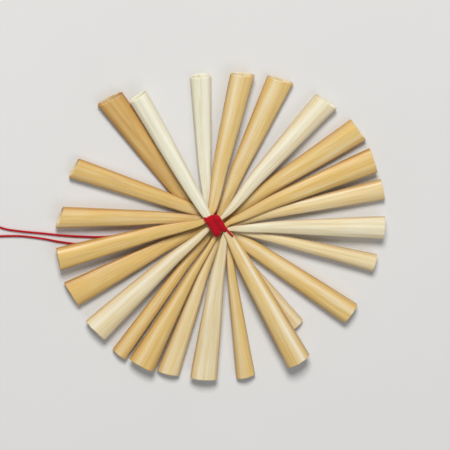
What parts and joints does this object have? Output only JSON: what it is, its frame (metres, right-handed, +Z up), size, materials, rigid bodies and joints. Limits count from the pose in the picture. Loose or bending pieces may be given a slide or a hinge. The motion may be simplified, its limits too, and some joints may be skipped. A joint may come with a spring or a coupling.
{
  "type": "straw ornament",
  "caption": "Natural straw sun star, whole hollow straws tied in the middle with red thread and fanned out flat, with a red hanging loop.",
  "frame": {"origin": "on the resting surface, under the middle of the star's outline, the hanging thread not counted", "axes": "+Z up, out of the star's front face; -X towards the end of the hanging loop; the straws lie in the XY plane"},
  "size_m": [0.0943, 0.0708, 0.0053],
  "materials": {
    "straw": "natural dry straw, pale gold to cream, satin with a fine lengthwise grain",
    "thread": "red twisted cotton thread, matt"
  },
  "bodies": {
    "root": {"straw_01": "straw", "straw_02": "straw", "straw_03": "straw", "straw_04": "straw", "straw_05": "straw", "straw_06": "straw", "straw_07": "straw", "straw_08": "straw", "straw_09": "straw", "straw_10": "straw", "straw_11": "straw", "straw_12": "straw", "binding_thread": "thread", "hanging_thread": "thread"}
  },
  "joints": []
}
